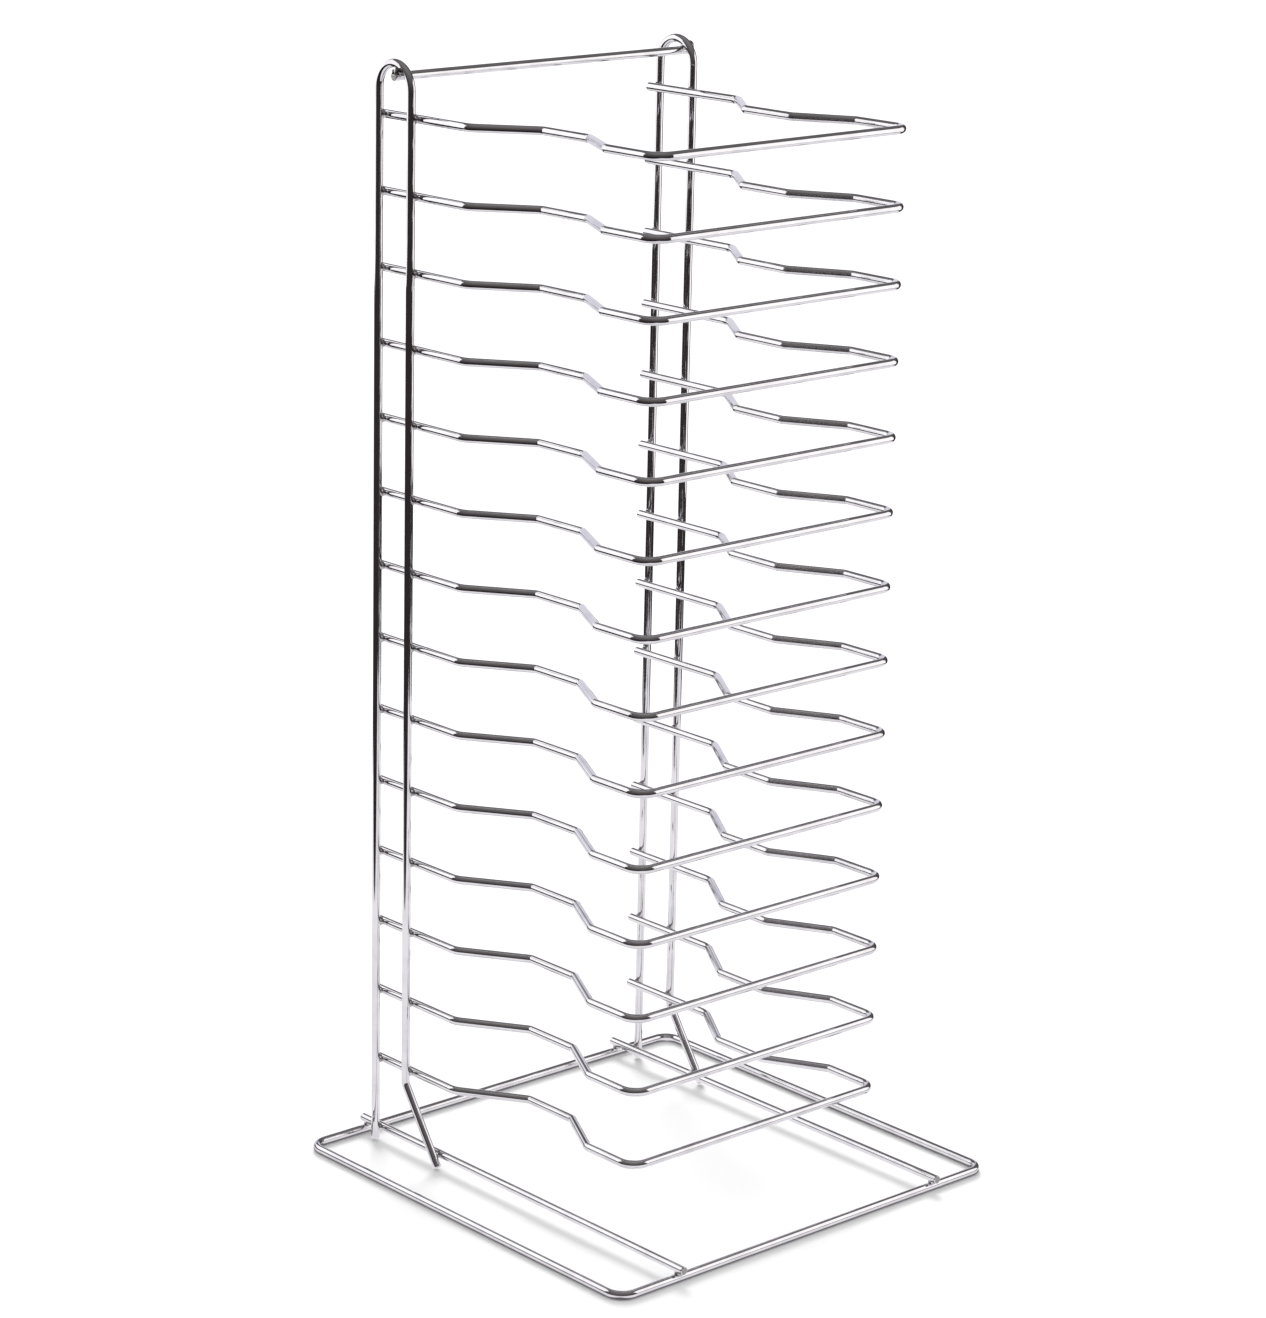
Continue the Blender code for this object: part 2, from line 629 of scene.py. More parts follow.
def make_wires(routes, closed=False):
    """Bends each named route into a wire that stands for its CAD node."""
    sizes = bpy.context.scene.rack_sizes
    tree = bpy.data.node_groups.get("Bent Wire") or bent_wire_tree()
    marks = mark_object(weld_places())
    for node, corners in routes.items():
        settings = {
            "Wire Diameter": sizes.wire_diameter,
            "Wire Sides": sizes.wire_sides,
            "Ring Spacing": sizes.ring_spacing,
            "Weld Marks": marks,
            "Weld Reach": WELD_REACH * sizes.wire_diameter,
            "Material": wire_chrome(),
        }
        mesh = guide(f"{node}_guide", corners, closed, sizes)
        piece = grown(f"{node}_wire", mesh, tree, settings)
        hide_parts(node)
        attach(piece, "root")
    bpy.data.objects.remove(marks)


# --------------------------------------------------------------------- routes


def base_route():
    """The closed rectangle that lies on the counter."""
    radius = span("base_loop", 2) / 2
    low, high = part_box("base_loop")
    x, y, z = high.x - radius, high.y - radius, middle("base_loop").z
    bend = bpy.context.scene.rack_sizes.base_corner
    return [((-x, -y, z), bend), ((x, -y, z), bend), ((x, y, z), bend), ((-x, y, z), bend)]


def runner_route(node):
    """A straight wire across the base loop, from rear to front."""
    low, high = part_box(node)
    centre = middle(node)
    return [((centre.x, high.y, centre.z), 0.0), ((centre.x, low.y, centre.z), 0.0)]


def carry_route():
    """The straight bar under the two arches."""
    low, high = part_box("carry_bar")
    centre = middle("carry_bar")
    return [((low.x, centre.y, centre.z), 0.0), ((high.x, centre.y, centre.z), 0.0)]


def arch_centre(node):
    """The middle of an upright's arch."""
    radius = span("base_loop", 2) / 2
    _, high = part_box(node)
    bend = LEG_SPACING / 2
    return Vector((middle(node).x, high.y - radius - bend, high.z - radius - bend))


def upright_route(node):
    """A hairpin: rear leg, arch, front leg, and the strut that runs forward to its foot."""
    centre = arch_centre(node)
    bend = LEG_SPACING / 2
    rear = centre.y + bend
    front = centre.y - bend
    top = centre.z + bend
    almost = bend - GUARD / 10
    return [
        ((centre.x, rear, REAR_FOOT_HEIGHT), 0.0),
        ((centre.x, rear, top), almost),
        ((centre.x, front, top), almost),
        ((centre.x, front, STRUT_BEND_HEIGHT), bpy.context.scene.rack_sizes.strut_bend),
        ((centre.x, front - STRUT_REACH, STRUT_FOOT_HEIGHT), 0.0),
    ]


def rank(node):
    """0 for the lowest shelf wire, 1 for the topmost."""
    return SHELVES.index(node) / (len(SHELVES) - 1)


def shelf_height(node, y):
    """How high a shelf wire's centre line is at a place along its depth."""
    low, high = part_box(node)
    forward = (high.y - y) / (high.y - low.y)
    rear = REAR_LIFTS[0] + (REAR_LIFTS[1] - REAR_LIFTS[0]) * rank(node)
    front = FRONT_LIFTS[0] + (FRONT_LIFTS[1] - FRONT_LIFTS[0]) * rank(node)
    return middle(node).z + rear + (front - rear) * forward


def shelf_route(node):
    """A flat U, open at the rear, that narrows to a waist half way along."""
    sizes = bpy.context.scene.rack_sizes
    radius = span("base_loop", 2) / 2
    low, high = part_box(node)
    climb = rank(node) ** 2
    crept = TOP_REAR_RUN_GAIN * (climb - MEAN_CLIMB)
    rear_half = high.x - radius
    front_half = SHELF_FRONT_HALF - TOP_FRONT_HALF_LOSS * (climb - MEAN_CLIMB)
    kink, corner = sizes.shelf_kink, sizes.shelf_corner
    first = high.y - SHELF_REAR_RUN - crept
    second = high.y - SHELF_REAR_RUN - SHELF_SLOPE_IN
    third = second - SHELF_WAIST_RUN
    fourth = third - SHELF_SLOPE_OUT + crept / 2
    front = low.y + radius
    side = [
        (rear_half, high.y, 0.0),
        (rear_half, first, sizes.shelf_shoulder),
        (SHELF_WAIST_HALF, second, kink),
        (SHELF_WAIST_HALF, third, kink),
        (front_half, fourth, kink),
        (front_half, front, corner),
    ]
    left = [((-x, y, shelf_height(node, y)), bend) for x, y, bend in side]
    right = [((x, y, shelf_height(node, y)), bend) for x, y, bend in side[::-1]]
    return left + right


# ---------------------------------------------------------------------- welds


# Extra beads at the carry bar's ends: how far past the weld, and how far tipped over.
BAR_END_LUMPS = ((0.0028, 0.5), (0.0042, -0.9))

# A bead, in wire radii: how deep it is sunk into its wires, and how far it reaches across
# and along them. Then how much it draws in between them, and its points and layers.
BEAD_SUNK = 0.15
BEAD_ACROSS = 0.86
BEAD_ALONG = 1.30
BEAD_PINCH = 0.13
BEAD_POINTS = 24
BEAD_LAYERS = 6
BEAD_LUMP_SCALE = 700.0


def weld_places():
    """Every weld: its place, and the turn that lays its X and Y along its two wires."""
    found = []
    along_x, along_y, up = Vector((1, 0, 0)), Vector((0, 1, 0)), Vector((0, 0, 1))
    base_low, base_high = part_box("base_loop")
    radius = span("base_loop", 2) / 2
    lean = Vector((0, -STRUT_REACH, STRUT_FOOT_HEIGHT - STRUT_BEND_HEIGHT)).normalized()
    for name, side in SIDES:
        runner = middle(f"runner_{name}")
        arch = arch_centre(f"upright_{name}")
        out = Vector((side, 0, 0))
        gap = Vector(((runner.x + arch.x) / 2, 0, 0))
        rear, front = arch.y + LEG_SPACING / 2, arch.y - LEG_SPACING / 2
        for shelf in SHELVES:
            for y in (rear, front):
                place = gap + along_y * y + up * shelf_height(shelf, y)
                found.append((place, turn_between(along_y, up, out)))
        foot = front - STRUT_REACH * (STRUT_BEND_HEIGHT - runner.z) / (
            STRUT_BEND_HEIGHT - STRUT_FOOT_HEIGHT
        )
        found.append((gap + along_y * rear + up * runner.z, turn_between(along_y, up, out)))
        found.append((gap + along_y * foot + up * runner.z, turn_between(along_y, lean, out)))
        for y in (base_low.y + radius, base_high.y - radius):
            place = Vector((runner.x, y, (middle("base_loop").z + runner.z) / 2))
            found.append((place, turn_between(along_x, along_y, up)))
        bar = middle("carry_bar")
        outward = Vector((0, bar.y - arch.y, bar.z - arch.z))
        step = (LEG_SPACING / 2 + outward.length) / 2
        outward.normalize()
        place = Vector((arch.x, arch.y, arch.z)) + outward * step
        found.append((place, turn_between(along_x, outward.cross(along_x), outward)))
        for past, tip in BAR_END_LUMPS:
            tipped = outward * cos(tip) + outward.cross(along_x) * sin(tip)
            turn = turn_between(along_x, tipped.cross(along_x), tipped)
            found.append((place + out * past, turn))
    return found


def turn_between(first, second, outward):
    """A turn with X near the first wire, Y near the second and Z from one to the other."""
    if first.cross(second).dot(outward) < 0:
        second = -second
    between = (first + second).normalized()
    across = (first - second).normalized()
    x = (between + across).normalized()
    z = outward.normalized()
    return Matrix((x, z.cross(x), z)).transposed().to_euler()


def mark_object(welds):
    """Loose points at the welds, each holding its turn."""
    mesh = bpy.data.meshes.new("weld_marks")
    mesh.from_pydata([place for place, _ in welds], [], [])
    layer = mesh.attributes.new("weld_turn", "FLOAT_VECTOR", "POINT")
    layer.data.foreach_set("vector", [value for _, turn in welds for value in turn])
    marks = bpy.data.objects.new("weld_marks", mesh)
    bpy.context.scene.collection.objects.link(marks)
    return marks


def bead_mesh(radius, separation):
    """The saddle of metal squeezed out between two crossed wires, X below and Y above."""
    sunk = BEAD_SUNK * radius
    lowest, highest = BEAD_ACROSS * radius, BEAD_ALONG * radius
    bm = bmesh.new()
    rings = []
    for layer in range(BEAD_LAYERS + 1):
        share = layer / BEAD_LAYERS
        ring = []
        for i in range(BEAD_POINTS):
            angle = 2 * pi * i / BEAD_POINTS
            low = rim_point(angle, 0.0, lowest, highest, radius, separation, sunk)
            high = rim_point(angle, pi / 2, lowest, highest, radius, separation, sunk)
            point = low.lerp(high, share)
            pinch = 1 - BEAD_PINCH * sin(pi * share)
            ring.append(bm.verts.new((point.x * pinch, point.y * pinch, point.z)))
        rings.append(ring)
    for below, above in zip(rings, rings[1:]):
        for i in range(BEAD_POINTS):
            j = (i + 1) % BEAD_POINTS
            bm.faces.new((below[i], below[j], above[j], above[i]))
    bottom = bm.verts.new((0, 0, -separation / 2 + radius - sunk))
    top = bm.verts.new((0, 0, separation / 2 - radius + sunk))
    for i in range(BEAD_POINTS):
        j = (i + 1) % BEAD_POINTS
        bm.faces.new((bottom, rings[0][j], rings[0][i]))
        bm.faces.new((top, rings[-1][i], rings[-1][j]))
    for face in bm.faces:
        face.smooth = True
    mesh = bpy.data.meshes.new("weld_bead")
    bm.to_mesh(mesh)
    bm.free()
    return mesh


def rim_point(angle, wire_turn, lowest, highest, radius, separation, sunk):
    """Where the bead meets one of its two wires, just under that wire's surface."""
    along = cos(angle - wire_turn)
    reach = lowest + (highest - lowest) * along**2
    off_axis = reach * sin(angle - wire_turn)
    height = separation / 2 - sqrt(radius**2 - off_axis**2) + sunk
    if wire_turn == 0.0:
        height = -height
    return Vector((reach * cos(angle), reach * sin(angle), height))


def bead_tree():
    """Sets one bead at each weld mark, each a little different."""
    tree, given = new_tree(
        "Weld Beads",
        (
            ("Bead", "Object"),
            ("Smallest Bead", "Float"),
            ("Largest Bead", "Float"),
            ("Bead Lumps", "Float"),
            ("Seed", "Int"),
            ("Material", "Material"),
        ),
    )
    bead = add(tree, "GeometryNodeObjectInfo", {"Object": given["Bead"]})
    turn = stored(tree, "weld_turn", "FLOAT_VECTOR")
    turned = add(tree, "FunctionNodeEulerToRotation", {"Euler": turn})
    size = add(
        tree,
        "FunctionNodeRandomValue",
        {2: given["Smallest Bead"], 3: given["Largest Bead"], "Seed": given["Seed"]},
        data_type="FLOAT",
    )
    beads = add(
        tree,
        "GeometryNodeInstanceOnPoints",
        {
            "Points": given["Geometry"],
            "Instance": bead.outputs["Geometry"],
            "Rotation": turned.outputs["Rotation"],
            "Scale": size.outputs[1],
        },
    )
    real = add(tree, "GeometryNodeRealizeInstances", {"Geometry": beads.outputs[0]})
    lumps = add(tree, "ShaderNodeTexNoise", {"Scale": BEAD_LUMP_SCALE, "Detail": 2.0})
    height = math(tree, "SUBTRACT", lumps.outputs["Fac"], 0.5)
    height = math(tree, "MULTIPLY", height, given["Bead Lumps"])
    outward = add(
        tree,
        "ShaderNodeVectorMath",
        {0: add(tree, "GeometryNodeInputNormal").outputs["Normal"], "Scale": height},
        operation="SCALE",
    )
    lumpy = add(
        tree,
        "GeometryNodeSetPosition",
        {"Geometry": real.outputs[0], "Offset": outward.outputs["Vector"]},
    )
    end_tree(tree, lumpy.outputs[0], given["Material"])
    return tree


# ------------------------------------------------------------------ materials


# Patterns in the plating: noise scale of each, and its depth where it stands out.
SMUDGE_SCALE = 55.0
WAVE_SCALE = 90.0
WAVE_DEPTH = 0.00010
DRAW_SCALE = 700.0
DRAW_DEPTH = 0.00001
PIT_SCALE = 1400.0
PIT_DEPTH = 0.00025
SPOT_SCALE = 420.0
GRAIN_SCALE = 900.0
GRAIN_DEPTH = 0.00025
FINE_GRAIN_SCALE = 3200.0
FINE_GRAIN_DEPTH = 0.00006

# Draw marks are stretched along the wire by this share of their width.
DRAW_STRETCH = 0.012

# Between these heats the plating turns from clean to worn, up to this much.
HEAT_CLEAN = 0.80
HEAT_WORN = 0.94
MOST_WORN = 0.5


def new_material(name):
    """An empty metal material and its shader."""
    material = bpy.data.materials.new(name)
    material.use_nodes = True
    shader = material.node_tree.nodes["Principled BSDF"]
    shader.inputs["Metallic"].default_value = 1.0
    return material, material.node_tree, shader


def noise(tree, vector, scale, detail=3.0):
    """A noise pattern from 0 to 1."""
    node = add(
        tree, "ShaderNodeTexNoise", {"Vector": vector, "Scale": scale, "Detail": detail}
    )
    return node.outputs["Fac"]


def ramp(tree, value, low, high, start=0.0, end=1.0):
    """Stretches a value between two limits onto another pair, and stops there."""
    feeds = {"Value": value, 1: low, 2: high, 3: start, 4: end}
    return add(tree, "ShaderNodeMapRange", feeds).outputs["Result"]


def blend(tree, share, first, second):
    """Mixes two colours."""
    node = add(tree, "ShaderNodeMix", {0: share, 6: first, 7: second}, data_type="RGBA")
    return node.outputs[2]


def attribute(tree, name, output="Fac"):
    """Reads a piece's own attribute in a material."""
    return add(tree, "ShaderNodeAttribute", attribute_name=name).outputs[output]


def bump(tree, shader, height, distance, strength=1.0, under=None):
    """Adds a height pattern under a shader's surface."""
    feeds = {"Height": height, "Distance": distance, "Strength": strength}
    if under is not None:
        feeds["Normal"] = under
    node = add(tree, "ShaderNodeBump", feeds)
    tree.links.new(node.outputs["Normal"], shader.inputs["Normal"])
    return node.outputs["Normal"]


def wire_chrome():
    """Bright plating over drawn wire: die lines, smudges, dull welds and sheared ends."""
    found = bpy.data.materials.get("Chromed wire")
    if found:
        return found
    finish = bpy.context.scene.rack_plating
    material, tree, shader = new_material("Chromed wire")
    place = add(tree, "ShaderNodeTexCoord").outputs["Object"]
    run = attribute(tree, "wire_run", "Vector")
    heat = attribute(tree, "weld_heat")
    cut = attribute(tree, "cut_end")

    scorched = ramp(tree, heat, HEAT_CLEAN, HEAT_WORN, 0.0, MOST_WORN)
    worn = math(tree, "MAXIMUM", scorched, cut)
    smudge = ramp(tree, noise(tree, place, SMUDGE_SCALE), 0.42, 0.68)
    colour = blend(tree, smudge, (*finish.bright, 1.0), (*finish.dull, 1.0))
    colour = blend(tree, worn, colour, (*finish.burnt, 1.0))
    tree.links.new(colour, shader.inputs["Base Color"])

    rough = ramp(tree, smudge, 0.0, 1.0, finish.polished, finish.smudged)
    rough = add(
        tree, "ShaderNodeMapRange", {"Value": worn, 3: rough, 4: finish.welded}
    ).outputs["Result"]
    tree.links.new(rough, shader.inputs["Roughness"])

    lines = add(
        tree, "ShaderNodeMapping", {"Vector": run, "Scale": (1.0, 1.0, DRAW_STRETCH)}
    ).outputs["Vector"]
    draw_marks = noise(tree, lines, DRAW_SCALE, 2.0)
    waves = noise(tree, run, WAVE_SCALE, 1.0)
    pits = noise(tree, place, PIT_SCALE, 3.0)
    smooth = bump(tree, shader, waves, WAVE_DEPTH, 0.05)
    drawn = bump(tree, shader, draw_marks, DRAW_DEPTH, 0.05, smooth)
    rough_spots = math(tree, "MULTIPLY", pits, worn)
    bump(tree, shader, rough_spots, PIT_DEPTH, 0.5, drawn)
    return material


def bead_chrome():
    """Plating over a weld bead: lumpy, dull and darker than the wire."""
    finish = bpy.context.scene.rack_plating
    material, tree, shader = new_material("Chromed weld")
    place = add(tree, "ShaderNodeTexCoord").outputs["Object"]
    spots = ramp(tree, noise(tree, place, SPOT_SCALE), 0.40, 0.62)
    colour = blend(tree, spots, (*finish.burnt, 1.0), (*finish.dull, 1.0))
    tree.links.new(colour, shader.inputs["Base Color"])
    rough = ramp(tree, spots, 0.0, 1.0, finish.welded, finish.smudged)
    tree.links.new(rough, shader.inputs["Roughness"])
    grain = bump(tree, shader, noise(tree, place, GRAIN_SCALE), GRAIN_DEPTH, 0.6)
    fine = noise(tree, place, FINE_GRAIN_SCALE)
    bump(tree, shader, fine, FINE_GRAIN_DEPTH, 0.5, grain)
    return material


# ------------------------------------------------------------------ operators


class RACK_OT_base_loop(Operator):
    """Bends the closed loop that lies on the counter"""

    bl_idname = "rack.base_loop"
    bl_label = "Base loop"

    def execute(self, context):
        make_wires({"base_loop": base_route()}, closed=True)
        return {"FINISHED"}


class RACK_OT_runners(Operator):
    """Lays the two straight wires across the base loop"""

    bl_idname = "rack.runners"
    bl_label = "Runners"

    def execute(self, context):
        nodes = [f"runner_{name}" for name, _ in SIDES]
        make_wires({node: runner_route(node) for node in nodes})
        return {"FINISHED"}


class RACK_OT_uprights(Operator):
    """Bends the two hairpin uprights with their struts"""

    bl_idname = "rack.uprights"
    bl_label = "Uprights"

    def execute(self, context):
        nodes = [f"upright_{name}" for name, _ in SIDES]
        make_wires({node: upright_route(node) for node in nodes})
        return {"FINISHED"}


class RACK_OT_carry_bar(Operator):
    """Lays the straight bar under the two arches"""

    bl_idname = "rack.carry_bar"
    bl_label = "Carry bar"

    def execute(self, context):
        make_wires({"carry_bar": carry_route()})
        return {"FINISHED"}


class RACK_OT_shelves(Operator):
    """Bends the waisted shelf wires"""

    bl_idname = "rack.shelves"
    bl_label = "Shelf wires"

    def execute(self, context):
        make_wires({node: shelf_route(node) for node in SHELVES})
        return {"FINISHED"}


class RACK_OT_weld_beads(Operator):
    """Sets a bead of plated metal at every crossing of two wires"""

    bl_idname = "rack.weld_beads"
    bl_label = "Weld beads"

    def execute(self, context):
        sizes = context.scene.rack_sizes
        radius = sizes.wire_diameter / 2
        separation = middle("upright_right").x - middle("runner_right").x
        bead = bpy.data.objects.new("weld_bead", bead_mesh(radius, separation))
        context.scene.collection.objects.link(bead)
        marks = mark_object(weld_places())
        settings = {
            "Bead": bead,
            "Smallest Bead": sizes.bead_smallest,
            "Largest Bead": sizes.bead_largest,
            "Bead Lumps": sizes.bead_lumps,
            "Seed": sizes.seed,
            "Material": bead_chrome(),
        }
        piece = grown("weld_beads", marks.data.copy(), bead_tree(), settings)
        bpy.data.objects.remove(bead)
        bpy.data.objects.remove(marks)
        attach(piece, "root")
        return {"FINISHED"}


# --------------------------------------------------------------------- studio


# Corners of the white table top that the wires reflect, and its colour in and out of
# the base loop's own shade.
TABLE_LOW = (-0.58, -0.90)
TABLE_HIGH = (0.90, 0.90)
TABLE_SHADE = (0.16, 0.15, 0.16, 1.0)
TABLE_LIT = (0.97, 0.95, 0.985, 1.0)

# Distances from the base loop's centre line over which its own shade fades out.
SHADE_REACH = (0.0025, 0.0055)

# The floor's two tones of white, and how its patches are spaced.
FLOOR_LIGHT = (0.86, 0.86, 0.86, 1.0)
FLOOR_DARK = (0.84, 0.84, 0.84, 1.0)
FLOOR_PATCHES = 3.0


def emissive(name, colour, strength):
    """A plain glowing material for a reflector card."""
    material = bpy.data.materials.new(name)
    material.use_nodes = True
    tree = material.node_tree
    tree.nodes.clear()
    glow = add(tree, "ShaderNodeEmission", {"Color": (*colour, 1.0), "Strength": strength})
    add(tree, "ShaderNodeOutputMaterial", {"Surface": glow.outputs[0]})
    return material


def table_glow():
    """The table top as the wires reflect it, with the shade beside the base loop."""
    material = emissive("Table top", (1.0, 1.0, 1.0), 1.0)
    tree = material.node_tree
    place = add(tree, "ShaderNodeTexCoord").outputs["Object"]
    axes = add(tree, "ShaderNodeSeparateXYZ", {"Vector": place}).outputs
    radius = span("base_loop", 2) / 2
    outside = []
    for index, axis in enumerate("XY"):
        half = span("base_loop", index) / 2 - radius
        outside.append(math(tree, "SUBTRACT", math(tree, "ABSOLUTE", axes[axis]), half))
    away = math(tree, "ABSOLUTE", math(tree, "MAXIMUM", *outside))
    lit = ramp(tree, away, SHADE_REACH[0], SHADE_REACH[1])
    colour = blend(tree, lit, TABLE_SHADE, TABLE_LIT)
    tree.links.new(colour, tree.nodes["Emission"].inputs["Color"])
    return material


def floor_paint():
    """Matt white paint with a very faint unevenness."""
    material = bpy.data.materials.new("Studio floor")
    material.use_nodes = True
    tree = material.node_tree
    shader = tree.nodes["Principled BSDF"]
    place = add(tree, "ShaderNodeTexCoord").outputs["Object"]
    patches = noise(tree, place, FLOOR_PATCHES)
    colour = blend(tree, patches, FLOOR_LIGHT, FLOOR_DARK)
    tree.links.new(colour, shader.inputs["Base Color"])
    shader.inputs["Roughness"].default_value = 0.9
    shader.inputs["Specular IOR Level"].default_value = 0.0
    return material


def card(name, corners, material):
    """A flat four-cornered card."""
    mesh = bpy.data.meshes.new(name)
    mesh.from_pydata(corners, [], [(0, 1, 2, 3)])
    mesh.materials.append(material)
    obj = bpy.data.objects.new(name, mesh)
    bpy.context.scene.collection.objects.link(obj)
    return obj


def level_card(name, low, high, height, material):
    """A card that faces up, between two corners."""
    (x0, y0), (x1, y1) = low, high
    corners = [(x0, y0, height), (x1, y0, height), (x1, y1, height), (x0, y1, height)]
    return card(name, corners, material)


def reflected_only(obj):
    """Leaves a stage card out of everything but the reflections in the wires."""
    obj.visible_camera = False
    obj.visible_diffuse = False
    obj.visible_shadow = False


# Softboxes: the two ends of the foot, bottom and top, then colour and brightness.
SOFTBOXES = (
    ("right softbox", (0.56, -1.04), (1.10, -0.25), 0.15, 1.20, (1.0, 0.975, 0.97), 1.30),
    ("left softbox", (-1.15, 0.84), (0.12, 1.28), 0.36, 1.60, (1.0, 0.995, 1.0), 1.30),
)


def stand_softbox(name, first, second, bottom, top, colour, strength):
    """An upright glowing card that faces the rack."""
    corners = [(*first, bottom), (*second, bottom), (*second, top), (*first, top)]
    reflected_only(card(f"studio_{name}", corners, emissive(name, colour, strength)))


# The pale backdrop that the wires reflect far behind the rack: its heading clockwise
# from +Y, half its width, its lower and upper elevation, and half its soft edge.
BACKDROP_HEADING = radians(30)
BACKDROP_HALF = radians(25)
BACKDROP_LOW = radians(-25)
BACKDROP_HIGH = radians(22)
BACKDROP_SOFT = radians(5) / 2
BACKDROP_TINT = (0.92, 0.905, 1.0)
BACKDROP_BRIGHTNESS = 0.86

# The dim room round the rack: its colour low down, overhead and under the table, and
# the elevations between which each pair changes over.
ROOM_LOW = (0.042, 0.034, 0.034, 1.0)
ROOM_HIGH = (0.22, 0.21, 0.21, 1.0)
ROOM_RISE = (radians(-5), radians(80))
ROOM_UNDER = (0.020, 0.017, 0.017, 1.0)
UNDER_RISE = (radians(-30), radians(-2))

# Brightness of the even light that falls on everything but the reflections.
EVEN_LIGHT = 0.96


def backdrop_mask(tree, heading, elevation):
    """1 inside the soft-edged backdrop, and 0 outside it."""
    soft, half, low, high = BACKDROP_SOFT, BACKDROP_HALF, BACKDROP_LOW, BACKDROP_HIGH
    away = math(tree, "SUBTRACT", heading, BACKDROP_HEADING)
    turned = add(tree, "ShaderNodeMath", {0: away, 1: pi, 2: -pi}, operation="WRAP")
    away = math(tree, "ABSOLUTE", turned.outputs[0])
    side = ramp(tree, away, half - soft, half + soft, 1.0, 0.0)
    bottom = ramp(tree, elevation, low - soft / 2, low + soft / 2)
    top = ramp(tree, elevation, high - soft, high + soft, 1.0, 0.0)
    return math(tree, "MULTIPLY", side, math(tree, "MULTIPLY", bottom, top))


def surroundings(tree):
    """What a polished wire sees round it: a dim room with a pale backdrop."""
    ray = add(tree, "ShaderNodeTexCoord").outputs["Generated"]
    axes = add(tree, "ShaderNodeSeparateXYZ", {"Vector": ray}).outputs
    heading = math(tree, "ARCTAN2", axes["X"], axes["Y"])
    elevation = math(tree, "ARCSINE", axes["Z"])
    dim = ramp(tree, elevation, *ROOM_RISE)
    colour = blend(tree, dim, ROOM_LOW, ROOM_HIGH)
    under = ramp(tree, elevation, *UNDER_RISE)
    colour = blend(tree, under, ROOM_UNDER, colour)
    tint = tuple(value * BACKDROP_BRIGHTNESS for value in BACKDROP_TINT)
    mask = backdrop_mask(tree, heading, elevation)
    return blend(tree, mask, colour, (*tint, 1.0))


def light_world(scene):
    """White to the camera, even light on the floor, and a dim room in reflections."""
    world = bpy.data.worlds.new("Studio")
    scene.world = world
    world.use_nodes = True
    world.cycles.sampling_method = "NONE"
    tree = world.node_tree
    tree.nodes.clear()
    rays = add(tree, "ShaderNodeLightPath").outputs
    mirrored = add(tree, "ShaderNodeBackground", {"Color": surroundings(tree)})
    white = {"Color": (1.0, 1.0, 1.0, 1.0), "Strength": EVEN_LIGHT}
    even = add(tree, "ShaderNodeBackground", white)
    mix = add(
        tree,
        "ShaderNodeMixShader",
        {0: rays["Is Glossy Ray"], 1: even.outputs[0], 2: mirrored.outputs[0]},
    )
    add(tree, "ShaderNodeOutputWorld", {"Surface": mix.outputs[0]})


# The key light: how wide it looks, which sets how soft its shadows are, and the way it
# shines, from behind the rack's right and 30 degrees above the floor.
KEY_WIDTH = radians(26)
KEY_WAY = Vector((-0.75, -1.05, -0.75))


def key_light(scene, strength):
    """A wide soft light from behind the rack's right, which gives the faint shadows."""
    lamp = bpy.data.lights.new("Key light", "SUN")
    lamp.angle = KEY_WIDTH
    lamp.energy = strength
    obj = bpy.data.objects.new("Key light", lamp)
    scene.collection.objects.link(obj)
    obj.rotation_euler = KEY_WAY.to_track_quat("-Z", "Y").to_euler()
    obj.visible_glossy = False


def place_camera(scene, studio):
    """The camera, level with the upper shelves and looking down a little."""
    lens = bpy.data.cameras.new("Camera")
    lens.lens = studio.camera_lens
    lens.sensor_width = 36.0
    lens.clip_end = 100.0
    camera = bpy.data.objects.new("Camera", lens)
    scene.collection.objects.link(camera)
    aim = Euler((pi / 2 - studio.camera_tilt, 0.0, -studio.camera_heading)).to_matrix()
    camera.rotation_euler = (aim @ Matrix.Rotation(studio.camera_roll, 3, "Z")).to_euler()
    camera.location = studio.camera_place
    scene.camera = camera


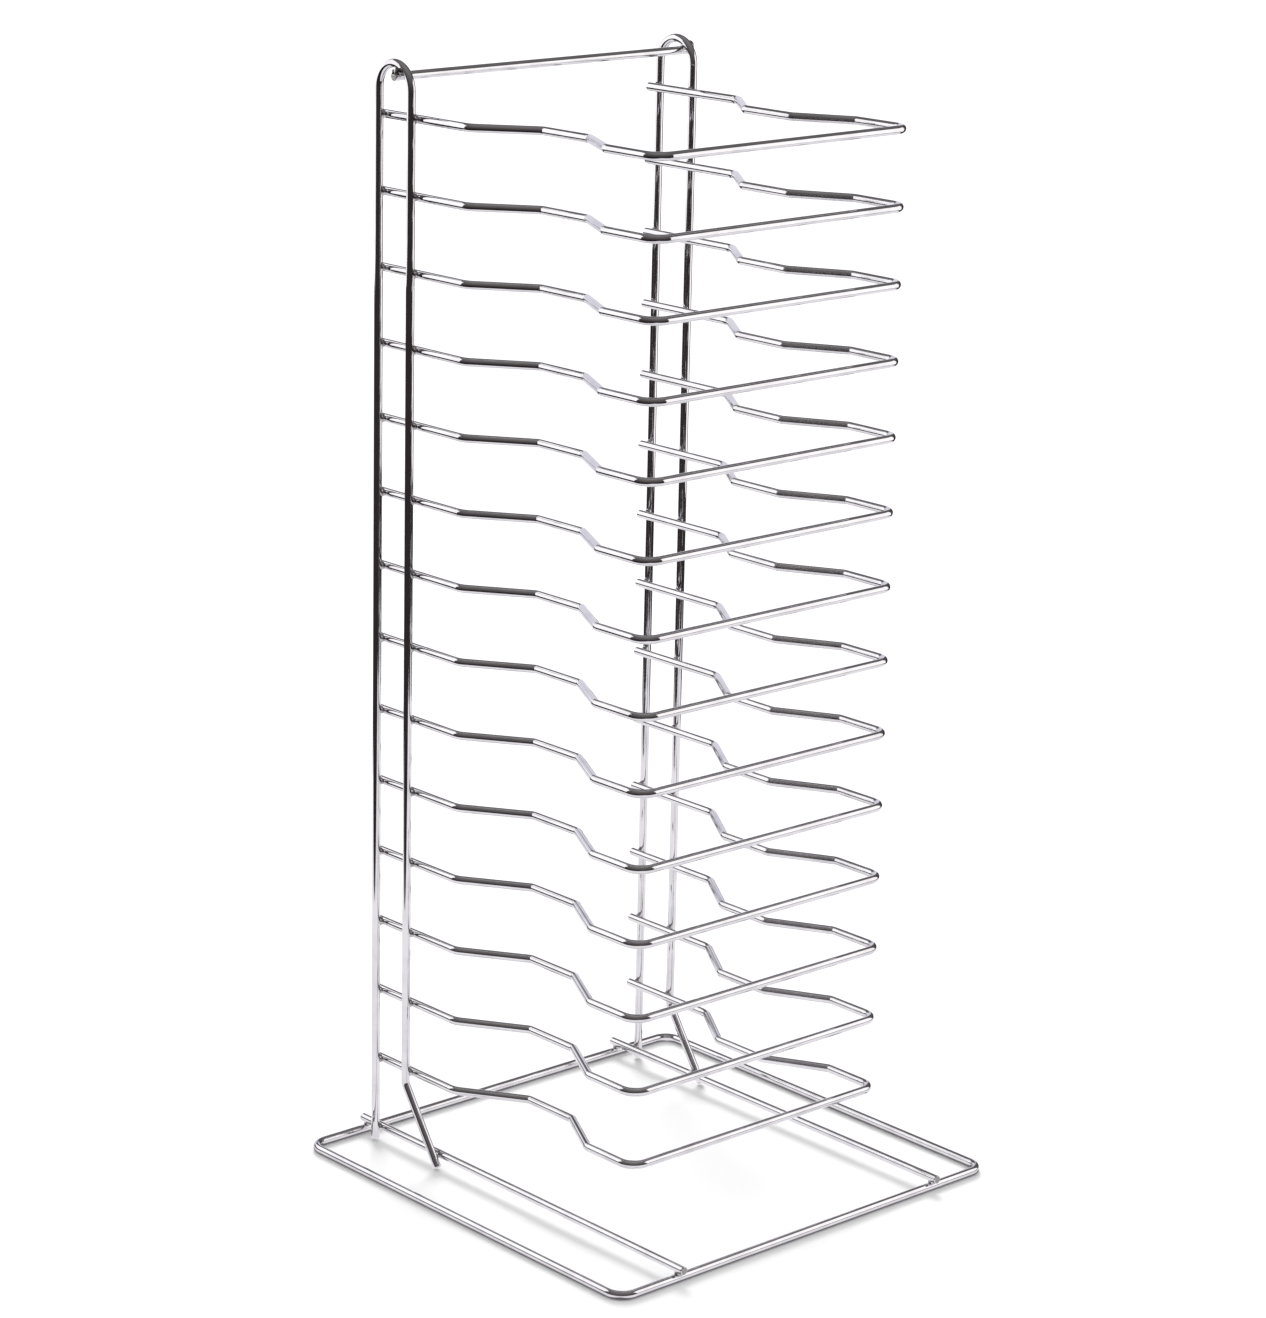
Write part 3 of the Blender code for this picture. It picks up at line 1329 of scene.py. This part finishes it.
class RACK_OT_studio(Operator):
    """Sets the pale floor, the soft light and the camera"""

    bl_idname = "rack.studio"
    bl_label = "Studio"

    def execute(self, context):
        scene = context.scene
        studio = scene.rack_studio
        half = studio.floor_size / 2
        floor = level_card("studio_floor", (-half, -half), (half, half), 0.0, floor_paint())
        floor.visible_glossy = False
        glow = table_glow()
        reflected_only(level_card("studio_table", TABLE_LOW, TABLE_HIGH, -0.001, glow))
        for softbox in SOFTBOXES:
            stand_softbox(*softbox)
        light_world(scene)
        key_light(scene, studio.key_strength)
        place_camera(scene, studio)
        scene.view_settings.view_transform = "Standard"
        return {"FINISHED"}


STEPS = (
    RACK_OT_base_loop,
    RACK_OT_runners,
    RACK_OT_uprights,
    RACK_OT_carry_bar,
    RACK_OT_shelves,
    RACK_OT_weld_beads,
    RACK_OT_studio,
)


class RACK_PT_build(Panel):
    """Lists the steps that build the rack"""

    bl_label = "Wire Pan Rack"
    bl_idname = "RACK_PT_build"
    bl_space_type = "VIEW_3D"
    bl_region_type = "UI"
    bl_category = "Pan Rack"

    def draw(self, context):
        for group in ("rack_sizes", "rack_plating", "rack_studio"):
            settings = getattr(context.scene, group)
            box = self.layout.box()
            for name in settings.__annotations__:
                box.prop(settings, name)
        for step in STEPS:
            self.layout.operator(step.bl_idname)


CLASSES = (RackSizes, PlatingFinish, StudioSetup, *STEPS, RACK_PT_build)


def register():
    for each in CLASSES:
        bpy.utils.register_class(each)
    bpy.types.Scene.rack_sizes = PointerProperty(type=RackSizes)
    bpy.types.Scene.rack_plating = PointerProperty(type=PlatingFinish)
    bpy.types.Scene.rack_studio = PointerProperty(type=StudioSetup)


def unregister():
    del bpy.types.Scene.rack_studio
    del bpy.types.Scene.rack_plating
    del bpy.types.Scene.rack_sizes
    for each in reversed(CLASSES):
        bpy.utils.unregister_class(each)


def main():
    register()
    bpy.ops.rack.base_loop()
    bpy.ops.rack.runners()
    bpy.ops.rack.uprights()
    bpy.ops.rack.carry_bar()
    bpy.ops.rack.shelves()
    bpy.ops.rack.weld_beads()
    bpy.ops.rack.studio()


if __name__ == "__main__":
    main()
